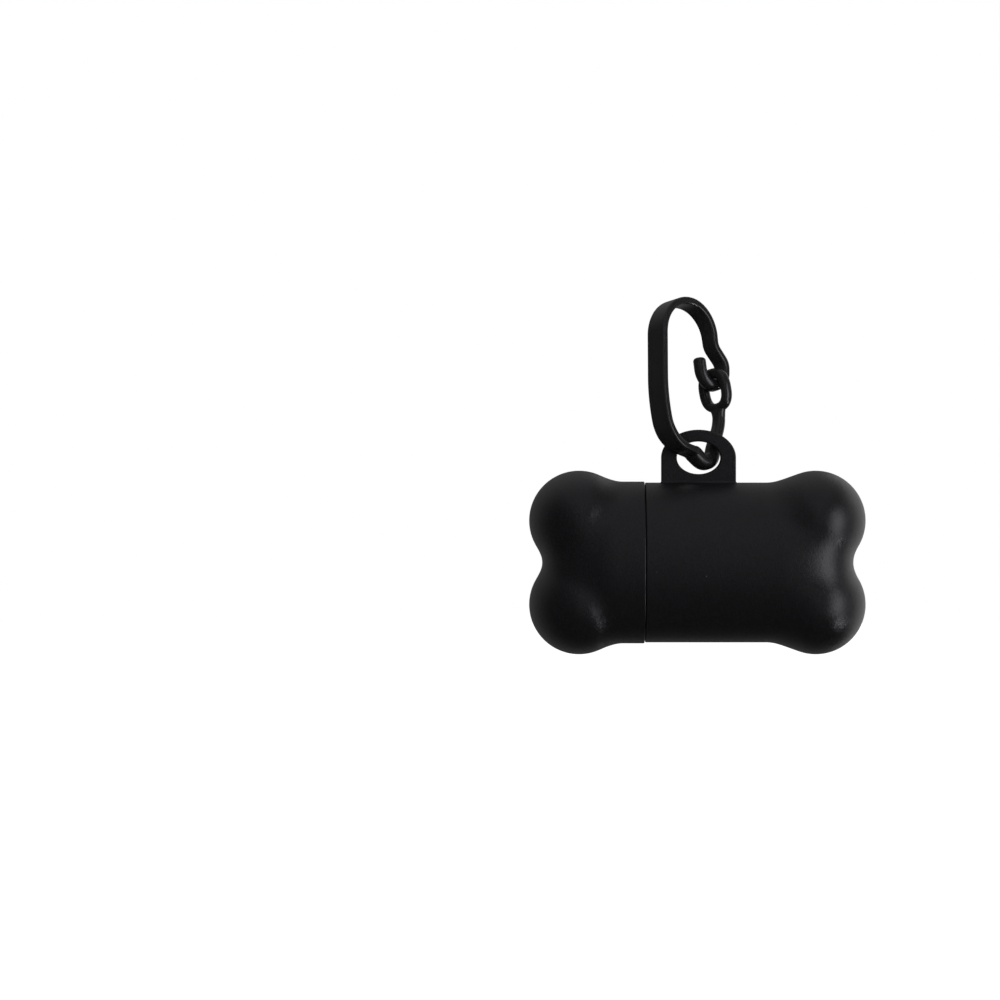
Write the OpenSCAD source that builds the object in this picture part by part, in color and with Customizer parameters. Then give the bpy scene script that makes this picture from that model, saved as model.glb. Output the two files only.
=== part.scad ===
// Bone-shaped pocket dispenser for rolls of pet waste bags, hanging from its
// hook-and-ring strap clip. Millimetres, +Z up, X along the bone. The origin
// is the leash eye: the crown of the clip's top arch, on its inner face.

/* [Bone] */
// Length of the bone, tip to tip
bone_len = 85; // [84:0.5:90]
// Radius of the case's round middle
case_r = 20.2; // [20.1:0.1:20.6]
// How far the cap stands proud of the case
cap_proud = 0.25; // [0.1:0.05:0.4]
// Place of the seam between cap and case, from the middle
seam_x = -13.2; // [-15:0.1:-12]
// Radius of each lobe as seen from the front
lobe_r = 12.6; // [12:0.1:13]
// Half the depth of each lobe, front to back
lobe_depth = 18.8; // [18.4:0.1:20]
// Height of the lobe centres above and below the axis
lobe_z = 10.6; // [10:0.1:11]
// Softness of the valley between the two lobes of an end, at its tip
valley_blend = 5.9; // [4:0.1:7]
// How much softer the valley grows towards the front and back faces
valley_flat = 9; // [0:0.5:10]
// Softness of the waist where the lobes meet the case's middle
case_waist = 3.2; // [2.5:0.1:4]
// Softness of the waist where the lobes meet the cap's middle
cap_waist = 2.2; // [1.8:0.1:3]

/* [Cap fit] */
// Length of the neck that the cap slides over
neck_len = 9; // [7:0.5:10]
// Outer radius of the neck
neck_r = 18.95; // [18.8:0.05:19]
// Gap all round between the neck and the cap
neck_gap = 0.15; // [0.1:0.01:0.15]
// Height of the snap bead on the neck
bead_h = 0.09; // [0.05:0.01:0.1]

/* [Bag bay] */
// Radius of the bay that holds the roll
bay_r = 17.7; // [17.2:0.1:17.7]
// Radius of the bay where its ends draw in
bay_end_r = 16; // [15.9:0.1:16.2]
// Width of the slot in the back that the bags are pulled through
slot_h = 5; // [4.5:0.5:6]
// Length of the slot
slot_len = 24; // [20:1:26]
// Place of the slot's middle along the bone
slot_x = 3.5; // [3:0.5:5]

/* [Tab] */
// Width of the hanging tab
tab_w = 18.9; // [18:0.1:20]
// Thickness of the tab
tab_t = 3; // [2.6:0.1:3.2]
// Width of the oval hole
hole_w = 11; // [10.8:0.1:11.4]
// Height of the oval hole
hole_h = 8.2; // [8:0.1:8.6]

/* [Clip] */
// Thickness of the strap
strap_t = 1.7; // [1.6:0.1:1.9]
// Width of the strap along the spine
strap_w = 5.7; // [5.4:0.1:6]
// Diameter of the rod that the hook is bent from
hook_d = 3; // [2.8:0.1:3.1]
// Turn of the clip away from the face of the bone, seen from above
clip_turn = 45; // [40:1:48]
// Lean of the clip towards the back
clip_lean = 18; // [12:1:22]

/* [Refill roll] */
// Diameter of a full roll of bags
roll_d = 30; // [26:1:30]
// Length of the roll
roll_len = 57; // [54:1:57]
// Outer diameter of the card core
core_d = 16; // [15:0.5:18]
// Wall of the card core
core_wall = 1; // [0.8:0.1:1.5]

/* [Hidden] */
$fn = 96;
eps = 0.01;

// Bone: places worked out from the sizes above
lobe_x = bone_len / 2 - lobe_r;
barrel_tip = bone_len / 2 - 5;
barrel_round = 17;
cap_r = case_r + cap_proud;
fan_x = 24;
rays = 64;
bay_tip = 31.5;
bay_corner = 30;
bay_taper = 20;

// Tab: centre of its rounded head and of its hole
tab_x = 0.3;
tab_z = 26.45;
tab_rise = 7.1;
tab_root = 0.9;

// Clip: a flat drawing of its two halves in the plane of the loop, from the
// split half way up the spine. Each step is [length, turn to the left].
spine_at = [-14.2, 51];
function arc(r, turn) = [r * abs(turn) * PI / 180, turn];
hook_route = [
    [6.5, 0], arc(10.7, -90), arc(8.5, -81), [1.3, 0], arc(3.5, 39),
    [2.8, 0], arc(3.2, -48), [1, 0], arc(4, -170), [1.2, 0]
];
ring_route = [
    [4.6, 0], arc(45, 14.5), arc(8.2, 72), [3.1, 0], arc(1.5, -26), [2.2, 0],
    arc(3.4, 110), [1.6, 0], arc(6, -10), [4.5, 0], arc(10.2, 33.5)
];
// Section along each half: [distance, width, thickness, squareness]
hook_section = [
    [0, strap_w, strap_t, 4], [8, strap_w, strap_t, 4], [24, 5, strap_t, 4],
    [36, 4.1, strap_t, 4], [44, 3.9, 1.9, 4], [50, 3.8, 2.5, 3],
    [54, hook_d, hook_d, 2], [80, hook_d, hook_d, 2]
];
ring_section = [
    [0, strap_w, strap_t, 4], [20, strap_w, strap_t, 4], [27, 5, 1.8, 4],
    [29, 4.7, 2.2, 3.5], [30.4, 4.3, 3.5, 2.5], [33, 3.8, 3.6, 2.3],
    [35, 3.4, 3.4, 2.2], [39, 3.3, 3, 2.5], [42, 3.3, 2.6, 3], [60, 3.2, 2.4, 3]
];
station_gap = 1;
seat_at = [1.2, 27.5];
seat_x = 0.85;
seat_y = -0.5;
seat_z = 25.9;
crown_at = [-3.5, 68.2 - strap_t / 2];

// Ring: centre in the loop's plane, tilt of its long side, outline and bar
ring_at = [6.75, 47.3];
ring_tilt = 104;
ring_w = 9.7;
ring_h = 11.1;
ring_bar = 1.8;
ring_deep = 2.8;

// Roll: it lies on the drawn-in ends of the bay
roll_drop = bay_end_r - roll_d / 2 - 0.02;

function at_distance(s, table, k) = lookup(s, [for (row = table) [row[0], row[k]]]);
function signed_power(a, p) = sign(a) * pow(abs(a), p);

// A point of the loop's drawing, [across, through, up], in the bone's frame
function from_loop(p) = let (
    q = p - [seat_at.x, 0, seat_at.y],
    a = [q.x * cos(clip_turn) - q.y * sin(clip_turn),
         q.x * sin(clip_turn) + q.y * cos(clip_turn), q.z]
) [seat_x + a.x,
   seat_y + a.y * cos(clip_lean) + a.z * sin(clip_lean),
   seat_z - a.y * sin(clip_lean) + a.z * cos(clip_lean)];
eye = from_loop([crown_at.x, 0, crown_at.y]);

module in_loop() {
    translate([seat_x, seat_y, seat_z])
        rotate([-clip_lean, 0, 0])
        rotate([0, 0, clip_turn])
        translate([-seat_at.x, 0, -seat_at.y])
        children();
}

// A solid's skin from rings of equal length. Its ends are closed flat, or the
// far one runs to a pole, or the last ring joins the first.
module skin(rings, pole = undef, joined = false) {
    n = len(rings[0]);
    m = len(rings);
    sides = [for (i = [0:m - (joined ? 1 : 2)], j = [0:n - 1])
        let (k = (j + 1) % n, a = i * n, b = ((i + 1) % m) * n)
        each [[a + j, b + k, a + k], [a + j, b + j, b + k]]];
    start = [[for (j = [0:n - 1]) j]];
    end = is_undef(pole)
        ? [[for (j = [n - 1:-1:0]) (m - 1) * n + j]]
        : [for (j = [0:n - 1]) [(m - 1) * n + j, m * n, (m - 1) * n + (j + 1) % n]];
    polyhedron(points = [for (r = rings) each r, if (!is_undef(pole)) pole],
        faces = joined ? sides : concat(sides, start, end));
}

// ---- bone ----

// Rounded lesser of two distances, softened over a band of k
function soft_min(a, b, k) = let (h = max(k - abs(a - b), 0) / k) min(a, b) - h * h * k / 4;

// Distance from a point to a lobe, round from the front and deep front to back
function lobe_gap(p) = let (
    a = norm([p.x / lobe_r, p.y / lobe_depth, p.z / lobe_r]),
    b = norm([p.x / pow(lobe_r, 2), p.y / pow(lobe_depth, 2), p.z / pow(lobe_r, 2)])
) a * (a - 1) / b;

// Distance to the round-ended barrel along X
function barrel_gap(p, r) = let (
    q = [abs(p.x) - barrel_tip + barrel_round, norm([p.y, p.z]) - r + barrel_round]
) norm([max(q.x, 0), max(q.y, 0)]) - barrel_round + min(max(q.x, q.y), 0);

function bone_gap(p, r, waist) = let (
    x = abs(p.x) - lobe_x,
    upper = lobe_gap([x, p.y, p.z - lobe_z]),
    lower = lobe_gap([x, p.y, p.z + lobe_z]),
    valley = valley_blend + valley_flat * pow(p.y / case_r, 2)
) soft_min(soft_min(upper, lower, valley), barrel_gap(p, r), waist);

// Where a ray from inside meets the bone's surface, found by halving
function shell_point(from, along, r, waist, near = 5, far = 36, steps = 15) =
    steps == 0 ? from + along * (near + far) / 2 :
    let (mid = (near + far) / 2)
    bone_gap(from + along * mid, r, waist) < 0
        ? shell_point(from, along, r, waist, mid, far, steps - 1)
        : shell_point(from, along, r, waist, near, mid, steps - 1);

// Half a bone from the seam out: square rays along the barrel, then a fan
// of rays round the end. side is -1 for the cap and 1 for the case.
module bone_half(side, r, waist, barrel_steps) {
    fan = 14;
    rings = concat(
        [for (x = barrel_steps) [for (j = [0:rays - 1]) let (q = 360 * j / rays)
            shell_point([x, 0, 0], [0, cos(q), sin(q)], r, waist)]],
        [for (i = [0:fan - 1]) let (f = 90 * i / fan) [for (j = [0:rays - 1])
            let (q = 360 * j / rays) shell_point([side * fan_x, 0, 0],
                [side * sin(f), cos(f) * cos(q), cos(f) * sin(q)], r, waist)]]
    );
    turned = side > 0 ? rings : [for (ring = rings) [for (j = [rays - 1:-1:0]) ring[j]]];
    skin(turned, shell_point([side * fan_x, 0, 0], [side, 0, 0], r, waist));
}

// A round space along X from a list of [x, radius] corners
module round_space(corners) {
    rotate([90, 0, 90])
        rotate_extrude()
        polygon(concat([[0, corners[0].x]], [for (c = corners) [c.y, c.x]],
            [[0, corners[len(corners) - 1].x]]));
}

// The tab's outline from the front: a half oval on straight sides that flare
// into the case with a small fillet at each foot
module tab_outline() {
    w = tab_w / 2;
    foot = case_r - 0.1 - tab_z;
    head = [for (i = [0:24]) let (q = 7.5 * i) [w * cos(q), tab_rise * sin(q)]];
    flare = [for (i = [0:4]) let (q = 22.5 * i)
        [w + tab_root * (1 - sin(q)), foot + tab_root * (1 - cos(q))]];
    right = concat([[w + tab_root, foot - 5]], flare);
    left = [for (i = [len(right) - 1:-1:0]) [-right[i].x, right[i].y]];
    polygon(concat(right, head, left));
}

module tab() {
    translate([tab_x, tab_t / 2, tab_z])
        rotate([90, 0, 0])
        linear_extrude(tab_t)
        difference() {
            tab_outline();
            polygon([for (i = [0:47]) let (q = 7.5 * i) [hole_w / 2 * cos(q), hole_h / 2 * sin(q)]]);
        }
}

module case() {
    color([0.11, 0.11, 0.12]) difference() {
        union() {
            bone_half(1, case_r, case_waist, [seam_x, 13, 15, 16.6, 18.2, 19.8, 21.4, 22.8]);
            tab();
            round_space([[seam_x - neck_len, neck_r - 0.4], [seam_x - neck_len + 0.6, neck_r],
                [seam_x + 2, neck_r]]);
            round_space([[seam_x - 7.4, neck_r - eps], [seam_x - 6.8, neck_r + bead_h],
                [seam_x - 6.2, neck_r + bead_h], [seam_x - 5.6, neck_r - eps]]);
        }
        round_space([[seam_x - neck_len - 1, bay_r], [bay_taper, bay_r], [bay_corner, bay_end_r],
            [bay_tip, bay_end_r - 2]]);
        bag_slot();
    }
}

module bag_slot() {
    straight = slot_len - slot_h;
    translate([slot_x - straight / 2, 10, -slot_h / 2]) cube([straight, 20, slot_h]);
    for (side = [-1, 1])
        translate([slot_x + side * straight / 2, 10, 0])
            rotate([-90, 0, 0])
            cylinder(d = slot_h, h = 20);
}

module end_cap() {
    bore = neck_r + neck_gap;
    color([0.12, 0.12, 0.13]) difference() {
        bone_half(-1, cap_r, cap_waist, [seam_x - 0.15, -17.4, -19.4, -21, -22.6]);
        round_space([[-bay_tip, bay_end_r - 2], [-bay_corner, bay_end_r],
            [seam_x - neck_len - 0.4, bay_r], [seam_x - neck_len - 0.4, bore], [seam_x + 1, bore]]);
    }
}

// ---- clip ----

// Stations of a route: [across, up, heading, distance]
function stations(start, heading, route) = let (
    moves = [for (step = route) let (n = ceil(step[0] / station_gap))
        for (i = [1:n]) [step[0] / n, step[1] / n]]
) [for (i = 0, p = start, h = heading, s = 0; i <= len(moves);
        m = moves[min(i, len(moves) - 1)],
        p = p + m[0] * [cos(h + m[1] / 2), sin(h + m[1] / 2)],
        h = h + m[1], s = s + m[0], i = i + 1) [p.x, p.y, h, s]];

// The strap's section at a station, scaled and pushed on along its heading
function strap_ring(at, section, scale = 1, ahead = 0) = let (
    w = at_distance(at[3], section, 1) * scale,
    t = at_distance(at[3], section, 2) * scale,
    p = 2 / at_distance(at[3], section, 3),
    along = [cos(at[2]), sin(at[2])]
) [for (j = [0:15]) let (q = 22.5 * j, c = signed_power(cos(q), p) * w / 2,
        d = signed_power(sin(q), p) * t / 2)
    [at[0] - d * along.y + ahead * along.x, c, at[1] + d * along.x + ahead * along.y]];

module clip_hook() {
    way = stations(spine_at, 90, hook_route);
    tip = way[len(way) - 1];
    rings = concat([for (at = way) strap_ring(at, hook_section)],
        [for (q = [30, 55, 75]) strap_ring(tip, hook_section, cos(q), hook_d / 2 * sin(q))]);
    color([0.13, 0.13, 0.14]) in_loop() skin(rings);
}

// The ring's bar swept round its outline: two half circles and straight sides
function ring_rings() = let (
    bend = (ring_w - ring_bar) / 2,
    side = (ring_h - ring_w) / 2,
    long = [cos(ring_tilt), 0, sin(ring_tilt)],
    deep = [sin(ring_tilt), 0, -cos(ring_tilt)]
) [for (i = [0:31]) let (q = 360 * (i + 0.5) / 32, out = cos(q) * [0, 1, 0] + sin(q) * long,
        mid = [ring_at.x, 0, ring_at.y] + bend * out + side * sign(sin(q)) * long)
    [for (j = [0:11]) let (f = -30 * j)
        mid + signed_power(cos(f), 0.75) * ring_bar / 2 * out
            + signed_power(sin(f), 0.75) * ring_deep / 2 * deep]];

module clip_ring() {
    way = stations(spine_at, -90, ring_route);
    color([0.13, 0.13, 0.14]) in_loop() {
        skin([for (at = way) strap_ring(at, ring_section)]);
        skin(ring_rings(), joined = true);
    }
}

// ---- refill roll ----

module along_bone(d, h) {
    translate([-h / 2, 0, -roll_drop]) rotate([0, 90, 0]) cylinder(d = d, h = h);
}

module roll_core() {
    color([0.72, 0.58, 0.42]) difference() {
        along_bone(core_d, roll_len);
        along_bone(core_d - 2 * core_wall, roll_len + 2);
    }
}

module bag_roll() {
    color([0.1, 0.1, 0.1]) difference() {
        along_bone(roll_d, roll_len - 0.6);
        along_bone(core_d, roll_len + 2);
    }
}

module hung() {
    translate(-eye) children();
}

hung() clip_hook();
hung() clip_ring();
hung() case();
hung() end_cap();
hung() roll_core();
hung() bag_roll();
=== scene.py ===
import bpy
import numpy as np
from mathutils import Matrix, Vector


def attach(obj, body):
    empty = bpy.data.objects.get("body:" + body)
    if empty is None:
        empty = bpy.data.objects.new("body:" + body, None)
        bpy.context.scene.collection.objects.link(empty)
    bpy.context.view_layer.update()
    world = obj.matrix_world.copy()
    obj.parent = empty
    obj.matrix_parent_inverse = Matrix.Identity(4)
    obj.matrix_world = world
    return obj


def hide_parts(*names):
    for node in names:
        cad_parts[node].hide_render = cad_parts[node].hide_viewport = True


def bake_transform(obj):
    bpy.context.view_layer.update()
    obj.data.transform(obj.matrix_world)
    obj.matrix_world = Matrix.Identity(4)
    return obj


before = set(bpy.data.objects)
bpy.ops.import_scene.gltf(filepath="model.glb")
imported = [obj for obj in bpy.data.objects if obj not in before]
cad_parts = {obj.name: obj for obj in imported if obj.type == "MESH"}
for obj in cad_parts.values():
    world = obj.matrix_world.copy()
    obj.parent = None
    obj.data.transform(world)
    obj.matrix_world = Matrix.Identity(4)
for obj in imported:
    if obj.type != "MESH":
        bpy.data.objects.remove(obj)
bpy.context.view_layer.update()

# ---- Camera, floor and light ----
# A catalogue shot: the dispenser hangs by its clip before white, seen square
# on through a long lens. Soft boxes stand right, low right and behind right,
# with a strip in front, a box overhead and a front fill that isn't mirrored.

view_width, view_distance = 0.2527, 2.0
view_x, view_z, bone_y = -0.04739, -0.04904, -0.0087
camera_data = bpy.data.cameras.new("camera")
camera_data.sensor_width = 36
camera_data.lens = camera_data.sensor_width * view_distance / view_width
camera = bpy.data.objects.new("camera", camera_data)
camera.location = (view_x, bone_y - view_distance, view_z)
camera.rotation_euler = (np.pi / 2, 0, 0)
bpy.context.collection.objects.link(camera)
scene = bpy.context.scene
scene.camera = camera
scene.view_settings.view_transform = "Standard"
subject = Vector((0.0025, bone_y, -0.055))


def node_tree(owner):
    """An empty node tree of a material or world, and a maker that adds a node
    to it and sets its sockets by name or number."""
    owner.use_nodes = True
    tree = owner.node_tree
    tree.nodes.clear()

    def add(kind, setup=None, **sockets):
        """A new node, with its properties from setup and its sockets set."""
        node = tree.nodes.new(kind)
        for key, value in (setup or {}).items():
            setattr(node, key, value)
        for key, value in sockets.items():
            socket = node.inputs[int(key[1:]) if key[0] == "i" and key[1:].isdigit() else key]
            if isinstance(value, bpy.types.NodeSocket):
                tree.links.new(value, socket)
            else:
                socket.default_value = value
        return node

    return tree, add


def soft_box(name, azimuth, elevation, distance, width, height, power, in_gloss=True):
    """A rectangular lamp that faces the dispenser. Azimuth 0 is the camera's
    side and 90 the right; in_gloss says whether glossy surfaces mirror it."""
    a, e = np.radians(azimuth), np.radians(elevation)
    away = Vector((np.sin(a) * np.cos(e), -np.cos(a) * np.cos(e), np.sin(e)))
    lamp = bpy.data.lights.new(name, "AREA")
    lamp.shape = "RECTANGLE"
    lamp.size, lamp.size_y, lamp.energy = width, height, power
    box = bpy.data.objects.new(name, lamp)
    box.location = subject + away * distance
    box.rotation_euler = away.to_track_quat("Z", "Y").to_euler()
    box.visible_camera = False
    box.visible_glossy = in_gloss
    bpy.context.collection.objects.link(box)


# Azimuth and elevation in degrees, distance, width and height in metres, watts
soft_box("right_box", 67, -3, 0.9, 0.44, 0.84, 3.9)
soft_box("right_low_box", 92, -37, 0.9, 0.14, 0.26, 3.2)
soft_box("right_back_box", 143, 3, 0.9, 0.90, 1.00, 1.7)
soft_box("front_strip", 8, 12, 1.1, 0.30, 1.90, 0.55)
soft_box("top_box", 0, 80, 1.1, 1.5, 1.5, 0.9)
soft_box("front_fill", -12, 26, 1.6, 1.6, 1.2, 18, in_gloss=False)

world = bpy.data.worlds.new("studio")
scene.world = world
tree, add = node_tree(world)
towards = add("ShaderNodeTexCoord").outputs["Generated"]


def sky_part(direction, start, end, strength):
    """A soft patch of the studio's walls: its strength fades in as the way
    looked at nears the direction, between two cosines."""
    near = add("ShaderNodeVectorMath", {"operation": "DOT_PRODUCT"}, i0=towards, i1=direction)
    patch = add("ShaderNodeMapRange", {"interpolation_type": "SMOOTHSTEP"}, Value=near.outputs["Value"],
                **{"From Min": start, "From Max": end, "To Max": strength})
    return patch.outputs["Result"]


overhead = sky_part((0, 0.1, 1), 0.35, 0.85, 0.10)
backdrop = sky_part((-0.2, 1, 0.25), 0.3, 0.9, 0.16)
both = add("ShaderNodeMath", {"operation": "ADD"}, i0=overhead, i1=backdrop)
total = add("ShaderNodeMath", {"operation": "ADD"}, i0=both.outputs[0], i1=0.035)
white = add("ShaderNodeBackground", Color=(1, 1, 1, 1), Strength=1.0)
studio = add("ShaderNodeBackground", Color=(1, 1, 1, 1), Strength=total.outputs[0])
seen = add("ShaderNodeMixShader", i0=add("ShaderNodeLightPath").outputs["Is Camera Ray"],
           i1=studio.outputs[0], i2=white.outputs[0])
add("ShaderNodeOutputWorld", Surface=seen.outputs[0])

floor_level, floor_half = -0.22, 9
floor_mesh = bpy.data.meshes.new("floor")
floor_corners = [(x * floor_half, y * floor_half, floor_level)
                 for x, y in ((-1, -1), (1, -1), (1, 1), (-1, 1))]
floor_mesh.from_pydata(floor_corners, [], [(0, 1, 2, 3)])
floor = bpy.data.objects.new("floor", floor_mesh)
bpy.context.collection.objects.link(floor)
pale = bpy.data.materials.new("pale_floor")
tree, add = node_tree(pale)
paint = add("ShaderNodeBsdfPrincipled", Roughness=0.9)
paint.inputs["Base Color"].default_value = (0.82, 0.82, 0.82, 1)
paint.inputs["Specular IOR Level"].default_value = 0.1
here = add("ShaderNodeTexCoord").outputs["Object"]
spread = add("ShaderNodeVectorMath", {"operation": "LENGTH"}, i0=here)
fade = add("ShaderNodeMapRange", {"interpolation_type": "SMOOTHSTEP"}, Value=spread.outputs["Value"],
           **{"From Min": 0.35, "From Max": 0.75, "To Min": 0.5, "To Max": 1.0})
camera_ray = add("ShaderNodeLightPath").outputs["Is Camera Ray"]
camera_only = add("ShaderNodeMath", {"operation": "MULTIPLY"}, i0=camera_ray, i1=fade.outputs["Result"])
glow = add("ShaderNodeEmission", Strength=camera_only.outputs[0])
lit = add("ShaderNodeAddShader", i0=paint.outputs[0], i1=glow.outputs[0])
add("ShaderNodeOutputMaterial", Surface=lit.outputs[0])
floor_mesh.materials.append(pale)
floor.visible_glossy = False


# ---- Case: the body of the bone ----
# A bone-shaped housing in matt black ABS, moulded in one piece with its
# hanging tab. It has a neck that the end cap pushes over, a bead that the
# cap snaps past, and a slot in the back that bags are pulled through.

mm = 0.001
bone_len, case_r, seam_x = 85.0, 20.2, -13.2
lobe_r, lobe_depth, lobe_z = 12.6, 18.8, 10.6
lobe_x = bone_len / 2 - lobe_r
valley_blend, valley_flat = 5.9, 9.0
barrel_tip, barrel_round, fan_x = bone_len / 2 - 5, 17.0, 24.0
around = 288

# The loop of the clip leans back and is turned from the bone's face
clip_turn, clip_lean = np.radians(45), np.radians(18)
seat_in_loop, seat_on_bone = np.array([1.2, 0, 27.5]), np.array([0.85, -0.5, 25.9])
crown_in_loop = np.array([-3.5, 0, 67.35])


def from_loop(p):
    """Points of the clip's drawing, across, through and up, turned about the
    upright, leaned back and set on the tab's seat, in the bone's frame."""
    q = p - seat_in_loop
    across = q[..., 0] * np.cos(clip_turn) - q[..., 1] * np.sin(clip_turn)
    through = q[..., 0] * np.sin(clip_turn) + q[..., 1] * np.cos(clip_turn)
    up = q[..., 2]
    leaned = np.stack([across, through * np.cos(clip_lean) + up * np.sin(clip_lean),
                       up * np.cos(clip_lean) - through * np.sin(clip_lean)], -1)
    return seat_on_bone + leaned


eye = from_loop(crown_in_loop)


def enclosed(points, faces):
    """Signed volume of a closed skin, positive where its faces point out."""
    a, b, c, d = (points[faces[:, k]] for k in range(4))
    return (a * np.cross(b, c)).sum() + (a * np.cross(c, d)).sum()


def turned(faces):
    """The same faces seen from the other side. A three-cornered face repeats
    its last corner, and still does afterwards."""
    three = faces[:, 2:3] == faces[:, 3:]
    return np.where(three, faces[:, [1, 0, 2, 3]], faces[:, [0, 3, 2, 1]])


def make_piece(name, points, faces, flat_faces=None):
    """A mesh object from points in the bone's frame in millimetres and quads
    or triangles, with its faces turned to point outwards. Flat faces are the
    fans that end it, and their rims are sharp."""
    place = (points - eye) * mm
    if enclosed(place, faces) < 0:
        faces = turned(faces)
    three = faces[:, 2] == faces[:, 3]
    keep = np.ones(faces.shape, bool)
    keep[three, 3] = False
    corners = np.where(three, 3, 4)
    mesh = bpy.data.meshes.new(name)
    mesh.vertices.add(len(place))
    mesh.vertices.foreach_set("co", place.ravel())
    mesh.loops.add(int(corners.sum()))
    mesh.loops.foreach_set("vertex_index", faces[keep].astype(np.int32))
    mesh.polygons.add(len(faces))
    starts = np.concatenate([[0], np.cumsum(corners)[:-1]])
    mesh.polygons.foreach_set("loop_start", starts.astype(np.int32))
    smooth = np.ones(len(faces), bool)
    if flat_faces is not None:
        smooth[flat_faces] = False
    mesh.polygons.foreach_set("use_smooth", smooth)
    mesh.update(calc_edges=True)
    mesh.validate()
    if flat_faces is not None:
        rim = np.zeros(len(place), bool)
        rim[faces[flat_faces, :2]] = True
        ends = np.empty(2 * len(mesh.edges), np.int32)
        mesh.edges.foreach_get("vertices", ends)
        sharp = mesh.attributes.new("sharp_edge", "BOOLEAN", "EDGE")
        sharp.data.foreach_set("value", rim[ends].reshape(-1, 2).all(1))
    piece = bpy.data.objects.new(name, mesh)
    bpy.context.collection.objects.link(piece)
    return piece


def grid_faces(rows, columns, joined=False):
    """Quads between successive rows of points that each run right round, with
    the last row joined to the first where asked."""
    i = np.arange(rows if joined else rows - 1)[:, None]
    j = np.arange(columns)[None, :]
    k, below = (j + 1) % columns, (i + 1) % rows
    return np.stack([i * columns + j, i * columns + k, below * columns + k,
                     below * columns + j], -1).reshape(-1, 4)


def pole_faces(row, pole, at_start):
    """Triangles from a ring of point numbers to the pole's point number. The
    pole lies before the ring where at_start is true, and else after it."""
    after = np.roll(row, -1)
    corners = (after, row) if at_start else (row, after)
    tip = np.full(len(row), pole)
    return np.stack([corners[0], corners[1], tip, tip], -1)


def soft_min(a, b, k):
    """The lesser of two distances, rounded where they differ by less than k."""
    h = np.maximum(k - np.abs(a - b), 0) / k
    return np.minimum(a, b) - h * h * k / 4


def bone_gap(p, r, waist):
    """Distance to the bone: a round-ended barrel along X joined softly to two
    lobes at each end. The valley between them grows softer to the faces."""
    x, y, z = np.abs(p[..., 0]) - lobe_x, p[..., 1], p[..., 2]

    def lobe(height):
        """About the distance to an ellipsoid: its scaled radius a times a
        less 1, over the length b of its slope."""
        a = np.sqrt((x / lobe_r) ** 2 + (y / lobe_depth) ** 2 + (height / lobe_r) ** 2)
        b = np.sqrt((x / lobe_r ** 2) ** 2 + (y / lobe_depth ** 2) ** 2 + (height / lobe_r ** 2) ** 2)
        return a * (a - 1) / b

    along = np.abs(p[..., 0]) - barrel_tip + barrel_round
    out = np.hypot(y, z) - r + barrel_round
    barrel = (np.hypot(np.maximum(along, 0), np.maximum(out, 0)) - barrel_round
              + np.minimum(np.maximum(along, out), 0))
    valley = valley_blend + valley_flat * (y / case_r) ** 2
    return soft_min(soft_min(lobe(z - lobe_z), lobe(z + lobe_z), valley), barrel, waist)


def ray_hits(start, along, r, waist):
    """Where rays from inside meet the bone's skin, by halving all at once
    between a distance inside it and one outside it."""
    inner_reach, outer_reach, halvings = 5.0, 36.0, 34
    near, far = np.full(along.shape[:-1], inner_reach), np.full(along.shape[:-1], outer_reach)
    for _ in range(halvings):
        middle = (near + far) / 2
        inside = bone_gap(start + along * middle[..., None], r, waist) < 0
        near, far = np.where(inside, middle, near), np.where(inside, far, middle)
    return start + along * ((near + far) / 2)[..., None]


turn = 2 * np.pi * np.arange(around) / around
spokes = np.stack([np.zeros(around), -np.cos(turn), np.sin(turn)], -1)


def barrel_rows(places, r, waist):
    """Rings of the skin straight out from the axis at places along X."""
    start = np.stack([places, 0 * places, 0 * places], -1)[:, None, :]
    return ray_hits(start, np.broadcast_to(spokes, (len(places), around, 3)), r, waist)


def fan_rows(side, r, waist, steps=92):
    """Rings round one end, where the rays swing from square to straight out,
    and the tip's own point."""
    swing = (np.pi / 2 * np.arange(steps) / steps)[:, None, None]
    ahead = np.array([side, 0.0, 0.0])
    along = np.sin(swing) * ahead + np.cos(swing) * spokes
    centre = np.array([side * fan_x, 0.0, 0.0])
    return ray_hits(centre, along, r, waist), ray_hits(centre, ahead[None], r, waist)[0]


def round_rows(profile):
    """Rings about the axis from a list of [x, radius] corners."""
    profile = np.asarray(profile, float)
    return spokes * profile[:, 1][:, None, None] + np.array([1.0, 0, 0]) * profile[:, 0][:, None, None]


def eased_edge(corner, start, end, radius, steps=6):
    """A quarter round in the [x, radius] plane that takes off a corner. start
    and end are unit steps from the corner back along its two sides."""
    corner, start, end = (np.asarray(v, float) for v in (corner, start, end))
    f = np.linspace(0, np.pi / 2, steps)[:, None]
    return corner + radius * (start * (1 - np.sin(f)) + end * (1 - np.cos(f)))


def bay_rows(side, mouth, step=0.6):
    """The bay that holds the roll: straight, then drawn in, then its flat end,
    as an [x, radius] profile from the end's middle out to the mouth."""
    end = [[31.5, r] for r in (0.6, 5, 10, 13.4)]
    drawn_in = [[31.3, 14.2], [30.6, 15.2], [30, 16.0], [28, 16.34], [26, 16.68], [24, 17.02],
                [22, 17.36], [20, 17.7]]
    straight = [[x, 17.7] for x in np.arange(19.4, side * mouth + 0.3, -step)]
    profile = np.array(end + drawn_in + straight)
    return profile * [side, 1]


neck_len, neck_r, bead_h, bay_r = 9.0, 18.95, 0.09, 17.7
mouth_x = seam_x - neck_len
skin_edge = 0.28
case_waist = 3.2

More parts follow.
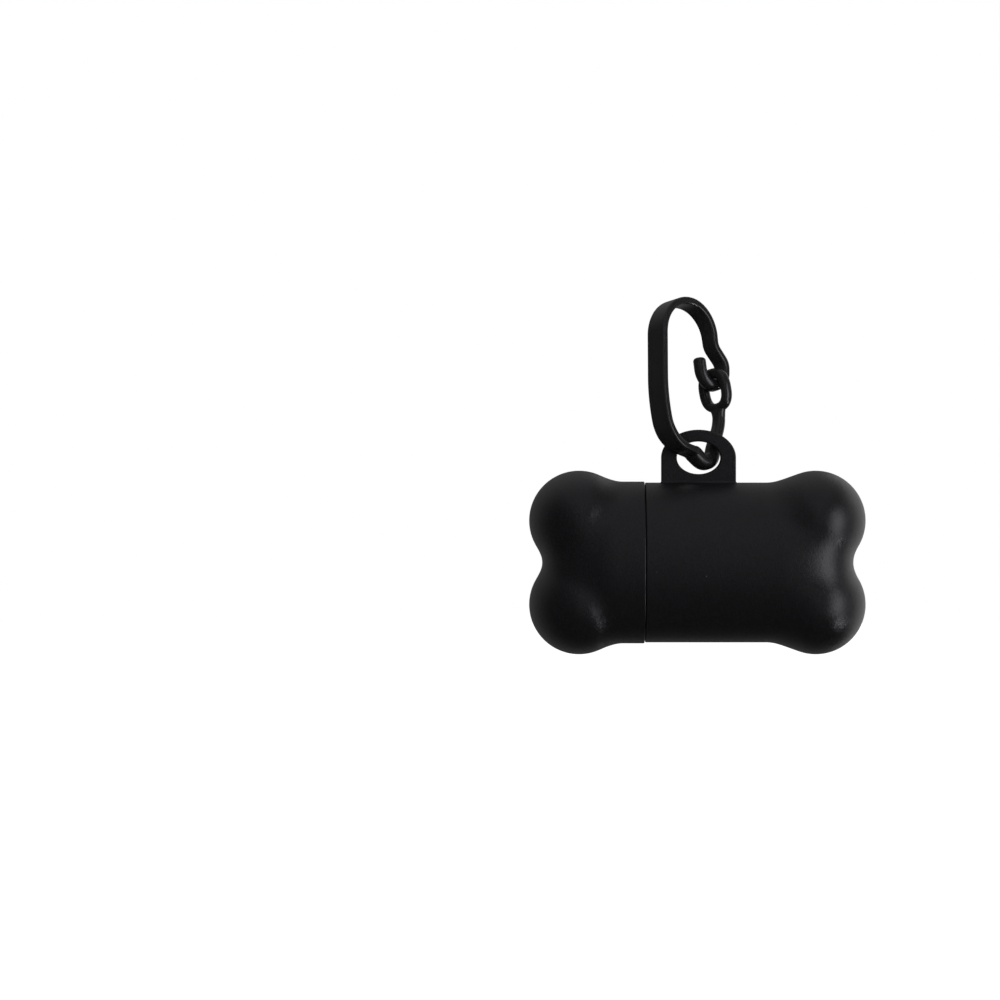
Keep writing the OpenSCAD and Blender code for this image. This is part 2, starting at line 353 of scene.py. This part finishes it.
bay = bay_rows(1, mouth_x)
neck = np.concatenate([
    eased_edge((mouth_x, bay_r), (1, 0), (0, 1), 0.25, 4),
    [[mouth_x, neck_r - 0.45], [mouth_x + 0.25, neck_r - 0.2], [mouth_x + 0.6, neck_r],
     [mouth_x + 1.0, neck_r]],
    [[seam_x - 7.5, neck_r], [seam_x - 7.3, neck_r + 0.02], [seam_x - 6.9, neck_r + bead_h],
     [seam_x - 6.5, neck_r + bead_h + 0.01], [seam_x - 6.1, neck_r + bead_h], [seam_x - 5.7, neck_r + 0.02],
     [seam_x - 5.5, neck_r], [seam_x - 3, neck_r], [seam_x - 0.3, neck_r]],
    [[seam_x - 0.05, neck_r + 0.05], [seam_x, neck_r + 0.3]],
    eased_edge((seam_x, case_r), (0, -1), (1, 0), skin_edge)
])
skin_x = np.concatenate([np.arange(seam_x + skin_edge + 0.3, 17, 0.6), np.arange(17, fan_x - 0.1, 0.4)])
end_rows, end_tip = fan_rows(1, case_r, case_waist)
skin_rows = barrel_rows(skin_x, case_r, case_waist)
rows = np.concatenate([round_rows(bay), round_rows(neck), skin_rows, end_rows])
inner_first, outer_first = 0, len(bay) + len(neck)
case_points = np.concatenate([rows.reshape(-1, 3), [[31.5, 0, 0]], [end_tip]])
bay_pole, skin_pole = len(case_points) - 2, len(case_points) - 1
quads = grid_faces(len(rows), around).reshape(len(rows) - 1, around, 4)

# The slot: a patch of quads is left out of the skin and of the bay's wall, and
# rings run from its edge to the slot's rounded outline and through the wall.
slot_x, slot_len, slot_h, lip = 3.5, 24.0, 5.0, 0.45
half_patch, patch_columns = 13.2, 9
left_out = np.zeros(quads.shape[:2], bool)


def patch_ring(row_x, first_row, half_columns=patch_columns):
    """Point numbers round the patch of the grid that the slot replaces: right
    along one side, over the end, back, and over the other end. Marks the
    patch's own quads as left out. Rows may run either way along X."""
    inside = np.flatnonzero(np.abs(row_x - slot_x) <= half_patch) + first_row
    if row_x[0] > row_x[-1]:
        inside = inside[::-1]
    low, high = around // 2 - half_columns, around // 2 + half_columns
    left_out[min(inside):max(inside), low:high] = True
    side_a = inside * around + low
    end_b = inside[-1] * around + np.arange(low + 1, high)
    side_c = inside[::-1] * around + high
    end_d = inside[0] * around + np.arange(high - 1, low, -1)
    return np.concatenate([side_a, end_b, side_c, end_d])


outer_ring = patch_ring(skin_x, outer_first)
inner_ring = patch_ring(bay[:, 0], inner_first)
seat_outer = case_points[outer_ring]
straight = (slot_len - slot_h) / 2
core = np.stack([np.clip(seat_outer[:, 0], slot_x - straight, slot_x + straight), 0 * outer_ring], -1)
out = seat_outer[:, [0, 2]] - core
out /= np.linalg.norm(out, axis=1)[:, None]


def slot_ring(rise, wide, r):
    """The slot's outline grown by wide, on the cylinder of radius r, moved
    along Y by rise."""
    flat = core + out * (slot_h / 2 + wide)
    return np.stack([flat[:, 0], np.sqrt(r * r - flat[:, 1] ** 2) + rise, flat[:, 1]], -1)


eases = np.linspace(0, np.pi / 2, 6)
slot_rings = [slot_ring(-lip * (1 - np.cos(f)), lip * (1 - np.sin(f)), case_r) for f in eases]
slot_rings += [slot_ring(-(case_r - bay_r) / 2, 0, case_r)]
slot_rings += [slot_ring(lip * (1 - np.cos(f)), lip * (1 - np.sin(f)), bay_r) for f in eases[::-1]]
new_first = len(case_points)
numbers = [outer_ring]
numbers += [new_first + k * len(outer_ring) + np.arange(len(outer_ring)) for k in range(len(slot_rings))]
numbers = np.stack(numbers + [inner_ring])
above, below = numbers[:-1], numbers[1:]
slot_quads = np.stack([np.roll(above, -1, 1), above, below, np.roll(below, -1, 1)], -1).reshape(-1, 4)
case_points = np.concatenate([case_points] + slot_rings)
case_faces = np.concatenate([
    quads[~left_out], slot_quads,
    pole_faces(np.arange(around), bay_pole, True),
    pole_faces((len(rows) - 1) * around + np.arange(around), skin_pole, False)
])

# The tab: a plate with an oval eye, rounded edges and a flare where it grows
# out of the housing. Rings run from the eye over the front to the outline,
# round its edge, over the back and through the eye.
tab_x, tab_z, tab_w, tab_t, tab_rise, tab_root = 0.3, 26.45, 18.9, 3.0, 7.1, 0.4
hole_w, hole_h, tab_edge = 11.0, 8.2, 0.4
foot_sunk, short_side = 0.1, 0.2
foot, sunk = case_r - foot_sunk - tab_z, -7.9
flare_out, flare_up, flare_sunk = 0.3, 0.5, 0.06
tab_steps, face_rings = 120, 22
half_w = tab_w / 2
q = np.linspace(0, np.pi, tab_steps + 1)
head = np.stack([half_w * np.cos(q), tab_rise * np.sin(q)], -1)
q = np.linspace(np.pi / 2, 0, 13)
flare = np.stack([half_w + tab_root * (1 - np.sin(q)), foot + tab_root * (1 - np.cos(q))], -1)
right_side = np.concatenate([[[half_w, 0]], flare, [[half_w + tab_root, sunk]]])
under = np.concatenate([right_side * [-1, 1], right_side[::-1]])
# The flare's short sides count for more, so that it keeps its points
sides = np.linalg.norm(np.diff(under, axis=0), axis=1)
reach = np.concatenate([[0], np.cumsum(sides + short_side * (sides < short_side))])
even = np.linspace(0, reach[-1], 2 * tab_steps + 1)[1:-1]
under = np.stack([np.interp(even, reach, under[:, 0]), np.interp(even, reach, under[:, 1])], -1)
outline = np.concatenate([head, under])
q = np.concatenate([np.linspace(0, np.pi, tab_steps + 1),
                    np.linspace(np.pi, 2 * np.pi, 2 * tab_steps + 1)[1:-1]])
oval = np.stack([hole_w / 2 * np.cos(q), hole_h / 2 * np.sin(q)], -1)
across = outline - oval
width = np.linalg.norm(across, axis=1)[:, None]
across /= width


def tab_ring(inset, depth, from_oval=0.0):
    """The outline drawn in by inset, or the oval grown by it where from_oval
    is 1, or between the two. depth is 1 on the front face and -1 on the back,
    and the plate thickens near its foot."""
    start = outline - across * inset
    end = oval + across * inset
    flat = start + (end - start) * from_oval
    up = np.clip((flat[:, 1] + tab_z - case_r + flare_sunk) / flare_up, 0, 1)
    thick = tab_t / 2 + flare_out * (1 - up) ** 2
    y = -np.sign(depth) * (thick - tab_t / 2 * (1 - abs(depth)))
    return np.stack([flat[:, 0] + tab_x, y, flat[:, 1] + tab_z], -1)


def edge_ring(f, face, from_oval=0.0):
    """A ring at the angle f on the quarter round of the tab's edge, off the
    front where face is 1 and off the back where it is -1. The inset shrinks
    with the sine of f and the depth with its cosine."""
    inset, depth = tab_edge * (1 - np.sin(f)), 1 - tab_edge / (tab_t / 2) * (1 - np.cos(f))
    return tab_ring(inset, face * depth, from_oval)


tab_rings = [tab_ring(tab_edge, 1, s) for s in np.linspace(1, 0, face_rings)[:-1]]
tab_rings += [edge_ring(f, 1) for f in eases]
tab_rings += [edge_ring(f, -1) for f in eases[::-1]]
tab_rings += [tab_ring(tab_edge, -1, s) for s in np.linspace(0, 1, face_rings)[1:]]
tab_rings += [edge_ring(f, -1, 1) for f in eases[1:]]
tab_rings += [edge_ring(f, 1, 1) for f in eases[:0:-1]]
tab_faces = grid_faces(len(tab_rings), len(outline), joined=True)
tab_points = np.concatenate(tab_rings)


def two_shells(points_a, faces_a, points_b, faces_b):
    """Two closed skins as one set of points and faces, facing alike."""
    if enclosed(points_a, faces_a) * enclosed(points_b, faces_b) < 0:
        faces_b = turned(faces_b)
    return np.concatenate([points_a, points_b]), np.concatenate([faces_a, faces_b + len(points_a)])


case_shell = make_piece("case_shell", *two_shells(case_points, case_faces, tab_points, tab_faces))


def moulded_plastic(name, tone, roughness, grain, dust):
    """Black moulded plastic. Two sizes of noise raise a spark-eroded grain,
    the coarser of them also varies its tone, slower noise varies its gloss,
    and a few pale specks of dust lie on it."""
    finish = bpy.data.materials.new(name)
    tree, add = node_tree(finish)
    here = add("ShaderNodeTexCoord").outputs["Object"]
    fine = add("ShaderNodeTexNoise", Vector=here, Scale=3600, Detail=2, Roughness=0.6)
    coarse = add("ShaderNodeTexNoise", Vector=here, Scale=1500, Detail=2, Roughness=0.6)
    slow = add("ShaderNodeTexNoise", Vector=here, Scale=70, Detail=3, Roughness=0.55)
    height = add("ShaderNodeMath", {"operation": "ADD"}, i0=fine.outputs["Fac"], i1=coarse.outputs["Fac"])
    bump = add("ShaderNodeBump", Height=height.outputs[0], Strength=1.0, Distance=grain)
    dark, light = (tuple(c * k for c in tone) + (1,) for k in (0.8, 1.3))
    body = add("ShaderNodeMix", {"data_type": "RGBA"}, Factor=coarse.outputs["Fac"])
    body.inputs[6].default_value, body.inputs[7].default_value = dark, light
    cells = add("ShaderNodeTexVoronoi", Vector=here, Scale=240)
    near = add("ShaderNodeMath", {"operation": "LESS_THAN"}, i0=cells.outputs["Distance"], i1=0.03)
    some = add("ShaderNodeSeparateColor", Color=cells.outputs["Color"])
    few = add("ShaderNodeMath", {"operation": "LESS_THAN"}, i0=some.outputs[0], i1=dust)
    speck = add("ShaderNodeMath", {"operation": "MULTIPLY"}, i0=near.outputs[0], i1=few.outputs[0])
    dusty = add("ShaderNodeMix", {"data_type": "RGBA"}, Factor=speck.outputs[0])
    tree.links.new(body.outputs[2], dusty.inputs[6])
    dusty.inputs[7].default_value = (0.10, 0.10, 0.095, 1)
    gloss = add("ShaderNodeMapRange", Value=slow.outputs["Fac"])
    gloss.inputs["To Min"].default_value = roughness - 0.05
    gloss.inputs["To Max"].default_value = roughness + 0.05
    plastic = add("ShaderNodeBsdfPrincipled", Roughness=gloss.outputs[0], Normal=bump.outputs[0],
                  **{"Base Color": dusty.outputs[2], "Specular IOR Level": 0.5, "IOR": 1.5,
                     "Specular Tint": (0.93, 0.92, 1.0, 1)})
    add("ShaderNodeOutputMaterial", Surface=plastic.outputs[0])
    return finish


housing_black = moulded_plastic("housing_black", (0.0050, 0.0049, 0.0056), 0.43, 0.00004, 0.06)
case_shell.data.materials.append(housing_black)
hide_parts("case")
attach(case_shell, "case")


# ---- End cap: the short end of the bone ----
# A cup moulded in the same matt black ABS. Its bore slides over the case's
# neck until the rims all but meet, and it pulls off to load a new roll.

cap_r, cap_waist = case_r + 0.25, 2.2
rim_x, bore = seam_x - 0.15, neck_r + 0.15
shelf_x = seam_x - neck_len - 0.4
taper_x = np.linspace(-30, shelf_x - 0.2, 8)[1:]
taper = np.stack([taper_x, np.interp(taper_x, [-30, shelf_x], [16.0, bay_r])], -1)
cap_inside = np.concatenate([
    bay_rows(-1, 30)[:7], taper,
    eased_edge((shelf_x, bay_r), (-1, 0), (0, 1), 0.15, 3),
    [[shelf_x, 18.3], [shelf_x, bore - 0.1], [shelf_x + 0.1, bore]],
    [[x, bore] for x in np.arange(shelf_x + 0.8, rim_x - 0.4, 1.0)],
    eased_edge((rim_x, bore), (-1, 0), (0, 1), 0.25, 4),
    eased_edge((rim_x, cap_r), (0, -1), (-1, 0), skin_edge)
])
cap_skin_x = np.concatenate([np.arange(rim_x - skin_edge - 0.3, -17, -0.5),
                             np.arange(-17, 0.1 - fan_x, -0.35)])
end_rows, end_tip = fan_rows(-1, cap_r, cap_waist)
rows = np.concatenate([round_rows(cap_inside), barrel_rows(cap_skin_x, cap_r, cap_waist), end_rows])
cap_points = np.concatenate([rows.reshape(-1, 3), [[-31.5, 0, 0]], [end_tip]])
cap_faces = np.concatenate([
    grid_faces(len(rows), around),
    pole_faces(np.arange(around), len(cap_points) - 2, True),
    pole_faces((len(rows) - 1) * around + np.arange(around), len(cap_points) - 1, False)
])
cap_shell = make_piece("cap_shell", cap_points, cap_faces)
cap_black = moulded_plastic("cap_black", (0.0048, 0.0047, 0.0054), 0.43, 0.00004, 0.06)
cap_shell.data.materials.append(cap_black)
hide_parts("end_cap")
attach(cap_shell, "end_cap")


# ---- Refill roll: card core ----
# A spiral-wound kraft card tube that the bags are wound on. Its ends are cut
# square, and the edge of the winding shows as a groove that climbs the bore.

roll_len, core_d, core_wall, roll_drop = 57.0, 16.0, 1.0, 0.98


def tube_piece(name, profile, groove):
    """A closed tube round the roll's axis from a ring-shaped [x, radius]
    profile; groove(x, turn, number) gives how far each point is moved out."""
    profile = np.asarray(profile, float)
    x = np.broadcast_to(profile[:, :1], (len(profile), around))
    far = profile[:, 1:] + groove(x, turn[None], np.arange(len(profile))[:, None])
    points = np.stack([x, -far * np.cos(turn), far * np.sin(turn) - roll_drop], -1).reshape(-1, 3)
    return make_piece(name, points, grid_faces(len(profile), around, joined=True))


half, inner, outer = roll_len / 2, core_d / 2 - core_wall, core_d / 2
bore_rows = 96
core_profile = np.concatenate([
    [[x, inner] for x in np.linspace(-half + 0.3, half - 0.3, bore_rows)],
    eased_edge((half, inner), (-1, 0), (0, 1), 0.15, 3),
    eased_edge((half, outer), (0, -1), (-1, 0), 0.15, 3),
    [[x, outer] for x in np.linspace(half - 0.5, -half + 0.5, 6)],
    eased_edge((-half, outer), (1, 0), (0, -1), 0.15, 3),
    eased_edge((-half, inner), (0, 1), (1, 0), 0.15, 3)
])
wind_pitch, groove_deep, groove_wide = 14.0, 0.09, 0.02


def wound_groove(x, angle, number):
    """A shallow helical groove, only in the bore's own rows: a bell curve
    about the middle of each turn of the winding."""
    phase = (x / wind_pitch + angle / (2 * np.pi)) % 1
    return groove_deep * np.exp(-((phase - 0.5) / groove_wide) ** 2) * (number < bore_rows)


card_core = tube_piece("card_core", core_profile, wound_groove)
kraft = bpy.data.materials.new("kraft_card")
tree, add = node_tree(kraft)
here = add("ShaderNodeTexCoord").outputs["Object"]
along = add("ShaderNodeMapping", Vector=here, Scale=(0.35, 1, 1))
fibre = add("ShaderNodeTexNoise", Vector=along.outputs[0], Scale=1600, Detail=4, Roughness=0.7)
cloud = add("ShaderNodeTexNoise", Vector=here, Scale=180, Detail=2)
tint = add("ShaderNodeMix", {"data_type": "RGBA"}, Factor=fibre.outputs["Fac"])
tint.inputs[6].default_value, tint.inputs[7].default_value = (0.30, 0.19, 0.10, 1), (0.52, 0.37, 0.22, 1)
faded = add("ShaderNodeMix", {"data_type": "RGBA"}, Factor=cloud.outputs["Fac"])
tree.links.new(tint.outputs[2], faded.inputs[6])
faded.inputs[7].default_value = (0.44, 0.31, 0.18, 1)
bump = add("ShaderNodeBump", Height=fibre.outputs["Fac"], Strength=0.6, Distance=0.00005)
card = add("ShaderNodeBsdfPrincipled", Roughness=0.85, Normal=bump.outputs[0],
           **{"Base Color": faded.outputs[2], "Specular IOR Level": 0.25})
add("ShaderNodeOutputMaterial", Surface=card.outputs[0])
card_core.data.materials.append(kraft)
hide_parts("roll_core")
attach(card_core, "roll")


# ---- Refill roll: the wound bags ----
# A strip of thin black film bags, folded lengthwise and wound tight on the
# core. The turns stand a little uneven at the ends, and the last bag's folded
# edge lies loose on the outside.

roll_r, film_half, layers, outer_rows = 15.0, (roll_len - 0.6) / 2, 26, 150
chance = np.random.default_rng(4)
waver = chance.uniform(0.0, 0.22, layers)
radii = np.linspace(core_d / 2, roll_r - 0.12, layers)
face_right = np.stack([film_half - waver, radii], -1)
face_left = np.stack([-film_half + waver[::-1] * 0.9, radii[::-1]], -1)
film_profile = np.concatenate([
    face_right, [[x, roll_r - 0.05] for x in np.linspace(film_half - 0.08, 0.08 - film_half, outer_rows)],
    face_left, [[x, core_d / 2] for x in np.linspace(-film_half + 1, film_half - 1, 4)]
])
crease_phases = chance.uniform(0, 2 * np.pi, 9)


def film_creases(x, angle, number):
    """Dents in the film's outside: a loose edge along the roll, and soft
    creases that are sums of slanted waves. They only ever go inwards."""
    waves = sum(np.sin(x * (0.25 + 0.17 * k) + angle * (2 + 3 * k) + phase)
                for k, phase in enumerate(crease_phases))
    edge = np.clip(((angle / (2 * np.pi) - 0.62 + 0.004 * np.sin(x * 0.4)) % 1) * 9, 0, 1)
    outside = (number >= layers) & (number < layers + outer_rows)
    return outside * (-0.015 * np.abs(waves) - 0.22 * (1 - edge) ** 2)


film_roll = tube_piece("film_roll", film_profile, film_creases)
film = bpy.data.materials.new("bag_film")
tree, add = node_tree(film)
here = add("ShaderNodeTexCoord").outputs["Object"]
pulled = add("ShaderNodeMapping", Vector=here, Scale=(1.6, 0.5, 0.5))
crinkle = add("ShaderNodeTexNoise", Vector=pulled.outputs[0], Scale=420, Detail=5, Roughness=0.6,
              Distortion=0.8)
bump = add("ShaderNodeBump", Height=crinkle.outputs["Fac"], Strength=0.8, Distance=0.00012)
shade = add("ShaderNodeMix", {"data_type": "RGBA"}, Factor=crinkle.outputs["Fac"])
shade.inputs[6].default_value = (0.006, 0.006, 0.007, 1)
shade.inputs[7].default_value = (0.016, 0.016, 0.018, 1)
plastic_film = add("ShaderNodeBsdfPrincipled", Roughness=0.28, Normal=bump.outputs[0],
                   **{"Base Color": shade.outputs[2], "Specular IOR Level": 0.5})
add("ShaderNodeOutputMaterial", Surface=plastic_film.outputs[0])
film_roll.data.materials.append(film)
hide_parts("bag_roll")
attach(film_roll, "roll")


# ---- Clip: hook, spine and ring of one springy moulding ----
# A strap clip moulded in satin black acetal. The strap runs from the hook's
# rod over the top arch, down the spine and through the tab's eye, and ends in
# a ring that snaps over the hook. In use it flexes at the spine; here the
# spine is a fixed piece of its own between the hook's and the ring's.

spine_at, station_gap = (-14.2, 51.0), 0.3


def arc(r, degrees):
    """An arc of a route, as its length, which is the radius times the bend in
    radians, and its bend in degrees."""
    return [r * abs(np.radians(degrees)), degrees]


# Each route from the middle of the spine: the length and bend of every part
hook_route = [[6.5, 0], arc(10.7, -90), arc(8.5, -81), [1.3, 0], arc(3.5, 39),
              [2.8, 0], arc(3.2, -48), [1, 0], arc(4, -170), [2.1, 0]]
ring_route = [[4.6, 0], arc(45, 14.5), arc(8.2, 72), [3.1, 0], arc(1.5, -26), [2.2, 0],
              arc(3.4, 110), [1.6, 0], arc(6, -10), [4.5, 0], arc(10.2, 33.5)]
# Section along each half: distance, width, thickness, radius of the corners
hook_section = np.array([
    [0, 5.85, 1.85, 0.48], [8, 5.85, 1.85, 0.48], [24, 5.25, 1.9, 0.5], [36, 4.4, 1.9, 0.55],
    [44, 4.1, 2.1, 0.7], [50, 3.9, 2.7, 1.1], [54, 3.25, 3.25, 1.62], [80, 3.25, 3.25, 1.62]
])
ring_section = np.array([
    [0, 5.85, 1.85, 0.48], [20, 5.85, 1.85, 0.48], [27, 5.1, 1.9, 0.55], [29, 4.8, 2.3, 0.8],
    [30.4, 4.4, 3.5, 1.2], [33, 4.2, 3.8, 1.6], [35, 4.3, 3.8, 1.7], [39, 4.0, 3.5, 1.6],
    [42, 3.5, 3.1, 1.4], [46, 3.35, 2.9, 1.3], [49.6, 3.3, 2.85, 1.3], [50.7, 3.6, 2.7, 1.2],
    [51.4, 4.2, 2.4, 1.1], [52, 4.8, 2.1, 1]
])


def walk(heading, route):
    """Stations of a route of straights and arcs from the spine, as across,
    up, heading and distance. Each small move heads half way into its turn."""
    counts = [max(1, int(np.ceil(length / station_gap))) for length, _ in route]
    lengths = np.concatenate([np.full(n, length / n) for n, (length, _) in zip(counts, route)])
    turns = np.radians(np.concatenate([np.full(n, bend / n) for n, (_, bend) in zip(counts, route)]))
    headings = np.radians(heading) + np.concatenate([[0], np.cumsum(turns)])
    middle = headings[:-1] + turns / 2
    across = spine_at[0] + np.concatenate([[0], np.cumsum(lengths * np.cos(middle))])
    up = spine_at[1] + np.concatenate([[0], np.cumsum(lengths * np.sin(middle))])
    return np.stack([across, up, headings, np.concatenate([[0], np.cumsum(lengths)])], -1)


def strap_outline(width, thickness, corner):
    """A rounded rectangle at every station: four quarter rounds of nine
    points, with three points on each flat between them."""
    corner = np.minimum(corner, np.minimum(width, thickness) / 2 - 1e-4)
    a, b = width / 2 - corner, thickness / 2 - corner
    parts = []
    for k, (sx, sy) in enumerate(((1, 1), (-1, 1), (-1, -1), (1, -1))):
        f = np.radians(90 * k + np.linspace(0, 90, 9))
        parts.append(np.stack([(sx * a)[:, None] + corner[:, None] * np.cos(f),
                               (sy * b)[:, None] + corner[:, None] * np.sin(f)], -1))
    pieces = []
    for k in range(4):
        start, end = parts[k][:, -1:], parts[(k + 1) % 4][:, :1]
        share = np.array([0.06, 0.5, 0.94])[None, :, None]
        pieces += [parts[k], start + (end - start) * share]
    return np.concatenate(pieces, 1)


def strap_rings(way, section, shrink=None, ahead=None):
    """The section carried along the route, square to it. Rings of a tip or a
    tongue are drawn in by shrink, and a tip's are set ahead."""
    w, t, r = (np.interp(way[:, 3], section[:, 0], section[:, k]) for k in (1, 2, 3))
    if shrink is not None:
        w, t, r = w - 2 * shrink, t - 2 * shrink, np.maximum(r - shrink, 0.02)
    flat = strap_outline(w, t, r)
    dx, dz = np.cos(way[:, 2]), np.sin(way[:, 2])
    step = np.zeros(len(way)) if ahead is None else ahead
    return np.stack([(way[:, 0] + step * dx)[:, None] - flat[..., 1] * dz[:, None], flat[..., 0],
                     (way[:, 1] + step * dz)[:, None] + flat[..., 1] * dx[:, None]], -1)


def strap_shell(rings, round_tip=False):
    """A closed skin from rings, with a fan to the middle at each end. The
    numbers of the faces that end it flat are given too."""
    rows, columns = rings.shape[:2]
    points = np.concatenate([rings.reshape(-1, 3), rings[:1].mean(1), rings[-1:].mean(1)])
    sides = grid_faces(rows, columns)
    first = pole_faces(np.arange(columns), len(points) - 2, True)
    last = pole_faces((rows - 1) * columns + np.arange(columns), len(points) - 1, False)
    faces = np.concatenate([sides, first, last])
    flat = np.arange(len(sides), len(faces) - (columns if round_tip else 0))
    return points, faces, flat


hook_way, ring_way = walk(90, hook_route), walk(-90, ring_route)
top_join, low_join = 4.5, 4.2
tip_edge = 0.9
f = np.linspace(0, np.pi / 2, 7)[1:]
tip_way = np.repeat(hook_way[-1:], len(f), 0)
top_way = hook_way[hook_way[:, 3] > top_join - 0.01]
tongue, tongue_slack = 1.0, 0.03
tongue_way = top_way[:1] - [0, tongue, 0, 0]
top_rings = np.concatenate([
    strap_rings(tongue_way, hook_section, tongue_slack), strap_rings(top_way, hook_section),
    strap_rings(tip_way, hook_section, tip_edge * (1 - np.cos(f)), tip_edge * np.sin(f))
])
points, faces, flat = strap_shell(top_rings, round_tip=True)
clip_top = make_piece("clip_top", from_loop(points), faces, flat)

spine_up = np.linspace(top_way[0, 1], spine_at[1] - low_join, 30)
ones = np.ones(len(spine_up))
spine_way = np.stack([spine_at[0] * ones, spine_up, -np.pi / 2 * ones, 0 * ones], -1)
points, faces, flat = strap_shell(strap_rings(spine_way, ring_section))
clip_spine = make_piece("clip_spine", from_loop(points), faces, flat)

base_way = ring_way[ring_way[:, 3] >= low_join]
base_way = np.concatenate([[[spine_at[0], spine_at[1] - low_join, -np.pi / 2, low_join]], base_way])
tongue_way = base_way[:1] + [0, tongue, 0, 0]
points, faces, flat = strap_shell(np.concatenate([strap_rings(tongue_way, ring_section, tongue_slack),
                                                  strap_rings(base_way, ring_section)]))

# The ring: a bar carried round a squarish oval, deeper than it is wide and
# fuller at the top
ring_at, ring_tilt = (6.75, 47.3), np.radians(104)
ring_w, ring_h, ring_bar, ring_deep = 9.7, 11.1, 2.3, 2.8
ring_steps, bar_steps, ring_square, bar_square, ring_fuller = 112, 36, 0.8, 0.75, 0.15
long_way = np.array([np.cos(ring_tilt), 0, np.sin(ring_tilt)])
deep_way = np.array([np.sin(ring_tilt), 0, -np.cos(ring_tilt)])
q = (2 * np.pi * (np.arange(ring_steps) + 0.5) / ring_steps)[:, None]
wide, long = (np.sign(v) * np.abs(v) ** ring_square for v in (np.cos(q), np.sin(q)))
middle = (np.array([ring_at[0], 0, ring_at[1]]) + (ring_w - ring_bar) / 2 * wide * np.array([0, 1, 0])
          + (ring_h - ring_bar) / 2 * long * long_way)
out = np.cross(np.roll(middle, -1, 0) - np.roll(middle, 1, 0), deep_way)
out /= np.linalg.norm(out, axis=1)[:, None]
g = -2 * np.pi * np.arange(bar_steps) / bar_steps
bar_out = np.sign(np.cos(g)) * np.abs(np.cos(g)) ** bar_square * ring_bar / 2
bar_deep = np.sign(np.sin(g)) * np.abs(np.sin(g)) ** bar_square * ring_deep / 2
fuller = 1 + ring_fuller * np.maximum(np.sin(q), 0)
ring_points = (middle[:, None] + bar_out[None, :, None] * (out * fuller)[:, None]
               + bar_deep[None, :, None] * deep_way).reshape(-1, 3)
ring_faces = grid_faces(ring_steps, bar_steps, joined=True)
points, faces = two_shells(points, faces, ring_points, ring_faces)
clip_base = make_piece("clip_base", from_loop(points), faces, flat)

clip_black = moulded_plastic("clip_black", (0.0088, 0.0088, 0.0092), 0.30, 0.000008, 0.02)
for piece in (clip_top, clip_spine, clip_base):
    piece.data.materials.append(clip_black)
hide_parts("clip_hook")
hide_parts("clip_ring")
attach(clip_top, "clip_hook")
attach(clip_base, "clip_ring")
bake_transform(clip_spine)
